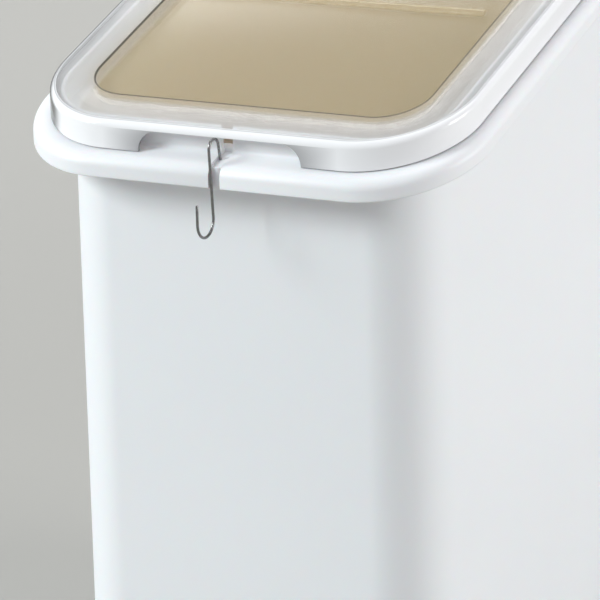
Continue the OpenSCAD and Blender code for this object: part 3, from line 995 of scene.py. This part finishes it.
@dataclass
class LidShell:
    """One of the two clear lids: flat band, sunk panel, rounded edge and skirt."""

    name: str
    node: str
    body: str
    roof: RoofLine
    plan: PlanOutline
    cut_y: float
    front: bool
    inset: float = 17.0
    edge_r: float = 5.2
    sheet: float = 3.0
    skirt_h: float = 24.0
    band: float = 36.5
    panel_r: float = 40.0
    sink: float = 8.0
    arch_w: float = 152.0
    arch_r: float = 18.0
    arch_top: float = 5.5
    rib_y: float = 214.0
    rib_w: float = 8.0
    rib_h: float = 1.6
    edge_rib_h: float = 7.0
    edge_rib_half: float = 177.0
    hinge_rise: float = 7.0
    knuckle_groups: tuple = (-120.0, 0.0, 120.0)
    front_knuckle: float = 30.0
    rear_knuckle: float = 15.0
    rear_offset: float = 22.9
    knuckle_r: float = 6.0
    bore_r: float = 2.55
    foot_reach: float = 14.0
    # Where the painted dark lines of shade lie: beside the panel, at the band's crease, and how
    # deep the panel's line runs
    panel_line: tuple = (-1.3, 0.1)
    crease_line: tuple = (1.3, 0.7)
    line_depth: float = 1.0
    milky_share: float = 0.3
    milky_rise: float = 80.0
    # The tan painted shade beside the panel: its share and the width over which it fades out
    amber_shade_share: float = 0.55
    amber_shade_fade: float = 22.0
    surface_gap: float = 0.02

    @property
    def side(self) -> int:
        """Returns the direction along Y from the hinge to this lid."""
        return -1 if self.front else 1

    def level(self, y: float) -> float:
        """Returns the height of the lid's top; in front the slope runs on past the crest."""
        return self.roof.plane(y) if self.front else self.roof.height(y)

    def outer_profile(self) -> list:
        """Lists the section of edge and skirt, from the top band round to its underside.

        Returns:
            Pairs of inset and depth.
        """
        face = self.inset - self.edge_r
        inner = face + self.sheet
        r_in = self.edge_r - 2.0
        points = [(self.inset + 1.2, 0.0)]
        points += arc((self.inset, self.edge_r), self.edge_r, 90, 180, 8)
        points += [(face, self.edge_r + 1.0), (face, self.skirt_h - 2.0)]
        points += arc((face + 1.0, self.skirt_h - 1.0), 1.0, 180, 270, 3)
        points += arc((inner - 1.0, self.skirt_h - 1.0), 1.0, 270, 360, 3)
        points += [(inner, self.skirt_h - 2.0), (inner, self.sheet + r_in + 1.0)]
        points += arc((inner + r_in, self.sheet + r_in), r_in, 180, 90, 5)
        points += [(inner + r_in + 1.2, self.sheet)]
        return points

    def panel_plan(self) -> PlanOutline:
        """Works out the outline of the sunk panel's upper edge.

        Returns:
            The outline.
        """
        side = self.inset + self.band
        if self.front:
            y0 = self.plan.y_front + side
            y1 = self.cut_y - self.band
        else:
            y0 = self.cut_y + self.band
            y1 = self.plan.y_back - side
        return PlanOutline(self.plan.half_w - side, y0, y1, self.panel_r, 16)

    def panel_profiles(self) -> tuple:
        """Lists the panel's sections.

        Returns:
            Pairs of inset and depth for the upper skin, and for the under skin.
        """
        s, t = self.sink, self.sheet
        upper = [(-24.0, 0.0), (-12.0, 0.0), (-2.0, 0.0), (-1.2, 0.0), (-0.75, 0.0)]
        upper += arc((-0.5, 0.5), 0.5, 90, 0, 4)
        upper += [(0.0, 0.9), (0.2, 1.6)]
        upper += arc((2.0, s - 1.6), 1.6, 180, 270, 4)
        upper += [(3.0, s)]
        under = [(-t - 1.6, t)]
        under += arc((-t - 0.4, t + 0.8), 0.8, 90, 0, 2)[1:]
        under += arc((-t + 4.4 - 0.4, s + t - 4.0), 4.0, 180, 270, 5)[1:]
        under += [(3.0, s + t)]
        return upper, under

    def flat_ring(self, bm: bmesh.types.BMesh, depth: float) -> None:
        """Fills one flat level between the loops that end on it.

        Args:
            bm: Mesh to change.
            depth: The level, below the roof line.
        """
        edges = [
            e for e in bm.edges
            if e.is_boundary and all(abs(v.co.z + depth) < LEVEL_GAP for v in e.verts)
        ]
        bmesh.ops.triangle_fill(bm, use_beauty=True, use_dissolve=False, edges=edges)

    def mesh(self) -> bmesh.types.BMesh:
        """Builds the lid under a flat roof line, as one closed skin.

        Returns:
            The new mesh.
        """
        bm = bmesh.new()
        self.plan.skin(bm, self.outer_profile())
        bmesh.ops.bisect_plane(
            bm, geom=bm.verts[:] + bm.edges[:] + bm.faces[:], dist=CUT_GAP,
            plane_co=(0, self.cut_y, 0), plane_no=(0, -self.side, 0), clear_outer=True,
        )
        self.close_hinge_edge(bm)
        panel = self.panel_plan()
        for profile in self.panel_profiles():
            _, last = panel.skin(bm, profile)
            bmesh.ops.contextual_create(bm, geom=last)
        for depth in (0.0, self.sheet):
            self.flat_ring(bm, depth)
        recalc(bm)
        return bm

    def close_hinge_edge(self, bm: bmesh.types.BMesh) -> None:
        """Closes the skin where the hinge edge cuts through it.

        Args:
            bm: Mesh to change.
        """
        def on_cut(vert: bmesh.types.BMVert) -> bool:
            """Says whether a point lies on the hinge edge."""
            return abs(vert.co.y - self.cut_y) < END_GAP

        rim = [v for v in bm.verts if on_cut(v)]
        for depth in (0.0, self.sheet):
            ends = [v for v in rim if abs(v.co.z + depth) < LEVEL_GAP]
            ends.sort(key=lambda v: abs(v.co.x))
            bm.edges.new((ends[0], ends[1]))
        for s in (-1, 1):
            chain = [e for e in bm.edges if e.is_boundary
                     and all(on_cut(v) and v.co.x * s > 0 for v in e.verts)]
            tips = [v for v in {v for e in chain for v in e.verts}
                    if sum(e in chain for e in v.link_edges) == 1]
            chain.append(bm.edges.new(tips))
            bmesh.ops.contextual_create(bm, geom=chain)
        hinge = [e for e in bm.edges if not e.link_faces
                 or (e.is_boundary and all(on_cut(v) for v in e.verts))]
        bmesh.ops.contextual_create(bm, geom=hinge)

    def arch_tool(self) -> bmesh.types.BMesh:
        """Makes the cutter of the finger cut-out.

        Returns:
            The new mesh.
        """
        bm = bmesh.new()
        depth = 60.0
        half, low = self.arch_w / 2, -self.arch_top
        corners = ((-half, low - 70), (half, low - 70), (half, low), (-half, low))
        verts = [bm.verts.new((x, 0.0, z)) for x, z in corners]
        bm.faces.new(verts)
        bmesh.ops.bevel(
            bm, geom=verts[2:], offset=self.arch_r, segments=14, profile=ROUND,
            affect="VERTICES", material=-1,
        )
        thicken(bm, (0, depth, 0))
        bmesh.ops.translate(bm, vec=(0, self.plan.y_front - depth + 24.0, 0), verts=bm.verts)
        return bm

    def knuckles(self) -> list:
        """Makes the hinge knuckles with their feet, in place.

        Returns:
            The new meshes.
        """
        axis = Vector((0.0, self.roof.crest_y, self.roof.top_z + self.hinge_rise))
        if self.front:
            offsets, length = (0.0,), self.front_knuckle
        else:
            offsets, length = (-self.rear_offset, self.rear_offset), self.rear_knuckle
        return [
            self.knuckle(axis, group + offset, length)
            for group in self.knuckle_groups for offset in offsets
        ]

    def knuckle(self, axis: Vector, x: float, length: float) -> bmesh.types.BMesh:
        """Makes one knuckle: a sleeve with a foot that runs down to the band.

        Args:
            axis: A point on the hinge line.
            x: Middle of the knuckle across the bin.
            length: Length along the hinge line.

        Returns:
            The new mesh.
        """
        foot_z = self.level(axis.y + self.side * self.foot_reach) - axis.z - 0.6
        heel_z = self.level(axis.y + self.side * 1.5) - axis.z - 0.6
        bm = bmesh.new()
        for radius in (self.knuckle_r, self.bore_r):
            bmesh.ops.create_circle(bm, cap_ends=False, segments=28, radius=radius)
        bmesh.ops.bridge_loops(bm, edges=bm.edges[:])
        quarter = math.radians(90)
        turn = Matrix.Rotation(quarter, 4, "Z") @ Matrix.Rotation(quarter, 4, "X")
        bmesh.ops.transform(bm, matrix=turn, verts=bm.verts)
        thicken(bm, (length, 0, 0))
        rims = [e for e in bm.edges if len(e.link_faces) == 2
                and e.calc_face_angle(0) > VERY_SHARP
                and e.verts[0].co.yz.length > self.knuckle_r - 0.2]
        round_off(bm, rims, 0.6, 2)
        foot = bmesh.new()
        corners = [
            (self.side * (self.knuckle_r - 0.4), 0.5), (self.side * self.foot_reach, foot_z),
            (self.side * 1.5, heel_z), (self.side * 3.2, -3.2),
        ]
        foot.faces.new([foot.verts.new((0.6, y, z)) for y, z in corners])
        thicken(foot, (length - 1.2, 0, 0))
        append(bm, foot)
        bmesh.ops.translate(bm, vec=(x - length / 2, axis.y, axis.z), verts=bm.verts)
        return bm

    def ribs(self) -> list:
        """Makes the rib under the hinge edge and, in front, the rib across the panel.

        Returns:
            The new meshes.
        """
        inner = self.cut_y + self.side * self.sheet / 2
        rib = bar(
            (2 * self.edge_rib_half, self.sheet - 0.1, self.edge_rib_h + 1.0),
            (0.0, inner, -(self.sheet - 1.0 + (self.edge_rib_h + 1.0) / 2)), soften=0.7,
        )
        made = [rib]
        if self.front:
            width = 2 * (self.plan.half_w - self.inset - self.band - 20.0)
            y = self.plan.y_front + self.inset + self.rib_y + self.rib_w / 2
            across = bar(
                (width, self.rib_w, self.rib_h + 1.2),
                (0.0, y, -(self.sink - self.rib_h + (self.rib_h + 1.2) / 2)), soften=0.75,
            )
            made.append(across)
        return made

    def depth(self, point: Vector) -> float:
        """Returns how deep a point lies below the lid's top."""
        return self.level(point.y) - point.z

    def is_edge(self, point: Vector) -> float:
        """Says how milky a point of the band is.

        Args:
            point: The point, in millimetres.

        Returns:
            0 at the panel and below the top, up to 0.3 at the edge.
        """
        if self.depth(point) > self.surface_gap:
            return 0.0
        gap = self.panel_plan().inset_of(point.x, point.y)
        return max(0.0, min(self.milky_share, -gap / self.milky_rise))

    def is_painted_amber_shade(self, point: Vector) -> float:
        """Says how much tan painted shade a point of the sheet gets, the tan standing for the
        shaded interior seen through the lid.

        Args:
            point: The point, in millimetres.

        Returns:
            1 on the sunk panel, less beside it and 0 further out.
        """
        gap = self.panel_plan().inset_of(point.x, point.y)
        share = self.amber_shade_share
        if gap > self.panel_line[1]:
            return 1.0
        return max(0.0, min(share, share + gap / self.amber_shade_fade))

    def arch_gap(self, x: float, depth: float) -> float:
        """Returns how far a point of the skirt lies from the finger cut-out's outline.

        Args:
            x: Place across the bin.
            depth: Distance below the lid's top.

        Returns:
            The distance.
        """
        flat = self.arch_w / 2 - self.arch_r
        if abs(x) < flat:
            return abs(depth - self.arch_top)
        corner = math.hypot(abs(x) - flat, depth - self.arch_top - self.arch_r)
        return abs(corner - self.arch_r)

    def is_painted_line_shade(self, point: Vector) -> float:
        """Says how dark the painted lines of shade are at a point, where the clear sheet's bent
        edges look dark.

        Args:
            point: The point, in millimetres.

        Returns:
            A share of painted shade: 1 round the panel, less on the cut-out's rim, band crease
                and skirt foot.
        """
        gap = self.panel_plan().inset_of(point.x, point.y)
        depth = self.depth(point)
        beside = self.panel_line[0] < gap < self.panel_line[1]
        if beside and -self.surface_gap < depth < self.line_depth:
            return 1.0
        inset = self.plan.inset_of(point.x, point.y)
        if self.front and inset < self.inset and point.y < self.plan.y_front + self.inset:
            if self.arch_gap(point.x, depth) < 0.25:
                return 0.6
        outer, inner = (self.inset - d for d in self.crease_line)
        if outer < inset < inner and depth < 0.4:
            return 0.5
        return 0.55 if depth > self.skirt_h - 0.7 and inset < self.inset else 0.0

    def build(self, shelf: FinishShelf) -> bpy.types.Object:
        """Makes the lid's piece in place of its node.

        Args:
            shelf: The finishes.

        Returns:
            The piece.
        """
        bm = self.mesh()
        if self.front:
            bm = carve(bm, self.arch_tool(), "DIFFERENCE")
            limit = self.plan.y_front + self.inset
            soften_between(
                bm, lambda spot: spot.y < limit and self.arch_gap(spot.x, -spot.z) < 0.1, 0.5, 2
            )
        for rib in self.ribs():
            append(bm, rib)
        for v in bm.verts:
            v.co.z += self.level(v.co.y)
        for knuckle in self.knuckles():
            append(bm, knuckle)
        obj = to_object(bm, self.name)
        paint(obj, "haze", self.is_edge)
        # The next two masks are painted shade: a tan for the shaded interior seen through the
        # sheet, and dark lines where its bent edges look dark
        paint(obj, "amber_painted_shade", self.is_painted_amber_shade)
        paint(obj, "edge_line_painted_shade", self.is_painted_line_shade)
        shelf.dress(obj, CLEAR_LID)
        shelf.dress_faces(
            obj, MILKY_EDGE, lambda spot: self.plan.inset_of(spot.x, spot.y) < self.inset + 0.05
        )
        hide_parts(self.node)
        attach(obj, self.body)
        return obj


@dataclass
class ScoopHook:
    """The bent wire hook that stands in the flange."""

    x: float = -2.2
    crown_y: float = -354.525
    crown_z: float = 605.916
    crown_r: float = 8.0
    wire_r: float = 1.2
    lean: float = 12.0
    leg: float = 18.4
    reach: float = 17.4
    drop: float = 57.5
    bend_r: float = 13.4
    front_leg: float = 16.5
    sides: int = 20

    def build(self, shelf: FinishShelf) -> bpy.types.Object:
        """Sweeps the wire from the short leg to the tip.

        Args:
            shelf: The finishes.

        Returns:
            The piece.
        """
        total = self.crown_r + self.bend_r
        span = math.hypot(self.reach, self.drop)
        shank = math.sqrt(span ** 2 - total ** 2)
        tilt = math.atan2(total, shank) - math.atan2(self.reach, self.drop)
        lean = math.radians(self.lean)
        bm = bmesh.new()
        bmesh.ops.create_circle(bm, cap_ends=True, segments=self.sides, radius=self.wire_r)
        spot = Vector((0.0, self.crown_r, -self.leg))
        bmesh.ops.translate(bm, vec=spot, verts=bm.verts)
        bmesh.ops.rotate(bm, cent=(0, 0, 0), matrix=Matrix.Rotation(lean, 3, "X"), verts=bm.verts)
        front = list(bm.faces)
        up = Vector((0.0, -math.sin(lean), math.cos(lean)))
        front = self.push(bm, front, up * self.leg)
        front = self.turn(bm, front, Vector((0, 0, 0)), math.pi + tilt - lean, 16)
        down = Vector((0.0, math.sin(tilt), -math.cos(tilt)))
        front = self.push(bm, front, down * shank)
        centre = Vector((0.0, -self.reach, -self.drop))
        front = self.turn(bm, front, centre, -(math.pi + tilt), 20)
        front = self.push(bm, front, Vector((0.0, 0.0, self.front_leg)))
        round_off(bm, front[0].edges[:], 0.3, 2)
        bmesh.ops.translate(bm, vec=(self.x, self.crown_y, self.crown_z), verts=bm.verts)
        bmesh.ops.recalc_face_normals(bm, faces=bm.faces)
        obj = to_object(bm, "hook_wire", Surface.SMOOTH)
        shelf.dress(obj, STAINLESS)
        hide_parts("scoop_hook")
        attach(obj, "hook")
        return obj

    def push(self, bm: bmesh.types.BMesh, faces: list, vec: Vector) -> list:
        """Extrudes the wire's end face straight on.

        Args:
            bm: Mesh to change.
            faces: The end face, in a list.
            vec: How far it goes.

        Returns:
            The new end face, in a list.
        """
        made = bmesh.ops.extrude_discrete_faces(bm, faces=faces)["faces"]
        verts = list({v for f in made for v in f.verts})
        bmesh.ops.translate(bm, vec=vec, verts=verts)
        return made

    def turn(
        self, bm: bmesh.types.BMesh, faces: list, centre: Vector, angle: float, steps: int
    ) -> list:
        """Bends the wire on round a centre.

        Args:
            bm: Mesh to change.
            faces: The end face, in a list.
            centre: Centre of the bend.
            angle: Angle of the bend, in radians.
            steps: Number of segments.

        Returns:
            The new end face, in a list.
        """
        for _ in range(steps):
            faces = bmesh.ops.extrude_discrete_faces(bm, faces=faces)["faces"]
            verts = list({v for f in faces for v in f.verts})
            step = Matrix.Rotation(angle / steps, 3, "X")
            bmesh.ops.rotate(bm, cent=centre, matrix=step, verts=verts)
        return faces


@dataclass
class SoftenedNode:
    """A hard CAD node shown with its edges broken, as stamped and turned parts have."""

    node: str
    finish: Finish
    edge: float
    angle: float = 35.0
    merge: float = 0.002

    def body(self) -> str:
        """Returns the body that the node rides on."""
        bodies = frame["record"]["behaviour"]["bodies"]
        return next(body for body, nodes in bodies.items() if self.node in nodes)

    def slot(self) -> str:
        """Returns the record's material slot of the node."""
        rows = frame["record"]["subparts"]
        return next(row["material_slot"] for row in rows if row["node"] == self.node)

    def build(self, shelf: FinishShelf) -> bpy.types.Object:
        """Makes the piece from a merged copy of the node's mesh.

        Args:
            shelf: The finishes.

        Returns:
            The piece.
        """
        bm = bmesh.new()
        bm.from_mesh(frame["nodes"][self.node].data)
        bmesh.ops.scale(bm, vec=(1 / MM, 1 / MM, 1 / MM), verts=bm.verts)
        bmesh.ops.remove_doubles(bm, verts=bm.verts, dist=self.merge)
        bmesh.ops.dissolve_limit(
            bm, angle_limit=math.radians(1.0), verts=bm.verts, edges=bm.edges, delimit={"NORMAL"}
        )
        sharp = [e for e in bm.edges if len(e.link_faces) == 2
                 and e.calc_face_angle(0.0) > math.radians(self.angle)]
        if sharp:
            round_off(bm, sharp, self.edge, 2, clamp=True)
        bmesh.ops.triangulate(bm, faces=[f for f in bm.faces if len(f.verts) > 4])
        obj = to_object(bm, self.node + "_shown")
        shelf.dress(obj, self.finish)
        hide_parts(self.node)
        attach(obj, self.body())
        return obj


@dataclass
class CasterSet:
    """The four casters with their screws: swivelling in front, fixed at the rear."""

    corners: tuple = ("front_left", "front_right", "rear_left", "rear_right")
    plate_edge: float = 0.5
    wheel_edge: float = 0.8
    tyre_edge: float = 1.6

    def softened(self, node: str) -> SoftenedNode:
        """Chooses finish and edge rounding for one caster piece.

        Args:
            node: Name of the piece's node.

        Returns:
            The piece, ready to build.
        """
        if node.endswith("_tyre"):
            return SoftenedNode(node, TREAD, self.tyre_edge)
        if node.endswith("_wheel"):
            return SoftenedNode(node, WHEEL_CORE, self.wheel_edge)
        return SoftenedNode(node, ZINC, self.plate_edge)

    def build(self, shelf: FinishShelf) -> list:
        """Makes every caster piece.

        Args:
            shelf: The finishes.

        Returns:
            The new pieces.
        """
        nodes = [n for n in sorted(frame["nodes"]) if n.startswith(self.corners)]
        made = [self.softened(node).build(shelf) for node in nodes + ["caster_screws"]]
        for obj in made:
            report(obj)
        return made


@dataclass(frozen=True)
class Lamp:
    """One soft square lamp: lengths in metres, power in watts, spread in degrees."""

    name: Lighting
    place: tuple
    size: float
    power: float
    aim: tuple = (0.0, 0.0, 0.45)
    spread: float = 180.0
    colour: tuple = (1.0, 1.0, 1.0)

    def hang(self) -> None:
        """Puts the lamp into the scene, pointed at its aim."""
        data = bpy.data.lights.new(self.name.value, "AREA")
        data.spread = math.radians(self.spread)
        data.color = self.colour
        data.shape = "SQUARE"
        data.size = self.size
        data.energy = self.power
        obj = bpy.data.objects.new(self.name.value, data)
        link(obj)
        obj.location = self.place
        way = Vector(self.aim) - Vector(self.place)
        obj.rotation_euler = way.to_track_quat("-Z", "Y").to_euler()


@dataclass
class Studio:
    """Floor, lamps and the camera of the photograph, in metres."""

    location: tuple = (1.7217, -3.41935, 1.43806)
    right: tuple = (0.88386, 0.46702, -0.02614)
    up: tuple = (-0.10109, 0.24529, 0.96417)
    back: tuple = (0.45669, -0.84955, 0.26401)
    lens: float = 265.2
    sensor: float = 36.0
    floor_colour: tuple = (0.405, 0.4, 0.375)
    floor_rough: float = 0.9
    world_colour: tuple = (0.97, 0.98, 1.02)
    world_strength: float = 0.48
    lamps: tuple = (
        Lamp(Lighting.KEY, (-5.9, -4.5, 4.0), 2.9, 530.0, colour=(0.95, 1.0, 1.015)),
        Lamp(Lighting.SIDE, (3.8, 0.45, 1.5), 1.6, 82.0),
        Lamp(Lighting.TOP, (0.0, 0.6, 5.4), 3.2, 54.0),
        Lamp(Lighting.BACK, (-2.4, 4.6, 4.2), 2.4, 22.0, aim=(-1.9, 2.6, 0.0), spread=70.0),
    )

    def camera(self) -> None:
        """Makes the camera at the photograph's place and angle."""
        data = bpy.data.cameras.new("photo_camera")
        data.lens = self.lens
        data.sensor_width = self.sensor
        data.clip_end = 100.0
        cam = bpy.data.objects.new("photo_camera", data)
        link(cam)
        turn = Matrix((self.right, self.up, self.back)).transposed().to_4x4()
        cam.matrix_world = Matrix.Translation(self.location) @ turn
        bpy.context.scene.camera = cam

    def floor(self) -> None:
        """Makes the plain pale floor."""
        bm = bmesh.new()
        bmesh.ops.create_grid(bm, x_segments=2, y_segments=2, size=30000.0)
        obj = to_object(bm, "floor")
        mat = bpy.data.materials.new("pale_floor")
        mat.use_nodes = True
        shader = mat.node_tree.nodes["Principled BSDF"]
        shader.inputs["Base Color"].default_value = (*self.floor_colour, 1.0)
        shader.inputs["Roughness"].default_value = self.floor_rough
        obj.data.materials.append(mat)

    def build(self) -> None:
        """Sets up the whole studio."""
        self.camera()
        self.floor()
        world = bpy.data.worlds.new("studio")
        world.use_nodes = True
        shade = world.node_tree.nodes["Background"]
        shade.inputs["Color"].default_value = (*self.world_colour, 1.0)
        shade.inputs["Strength"].default_value = self.world_strength
        bpy.context.scene.world = world
        for lamp in self.lamps:
            lamp.hang()
        bpy.context.scene.view_settings.view_transform = "Standard"
        LOG.info("studio set")


def main() -> None:
    """Builds the sub-assemblies in order and reports each piece."""
    logging.basicConfig(level=logging.INFO, format="%(name)s: %(message)s")
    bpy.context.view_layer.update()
    half_w, y_front, y_back, hinge_gap = 209.5, -362.475, 386.525, 1.5
    roof = RoofLine()
    rim = PlanOutline(half_w, y_front, y_back, 91.0)
    lid = PlanOutline(half_w, y_front, y_back, 100.0)
    shelf = FinishShelf()
    Studio().build()
    parts = [
        Tub(roof, rim),
        LidShell(
            "front_lid_shell", "front_lid", "lid_front", roof, lid,
            cut_y=roof.crest_y - hinge_gap, front=True,
        ),
        LidShell(
            "rear_lid_shell", "rear_lid", "lid_rear", roof, lid,
            cut_y=roof.crest_y + hinge_gap, front=False,
        ),
        ScoopHook(),
    ]
    for part in parts:
        report(part.build(shelf))
    CasterSet().build(shelf)
    hinge = (
        SoftenedNode("hinge_rod", STAINLESS, 0.4),
        SoftenedNode("hinge_rod_caps", CAP_PLASTIC, 0.6),
    )
    for part in hinge:
        report(part.build(shelf))


if __name__ == "__main__":
    main()
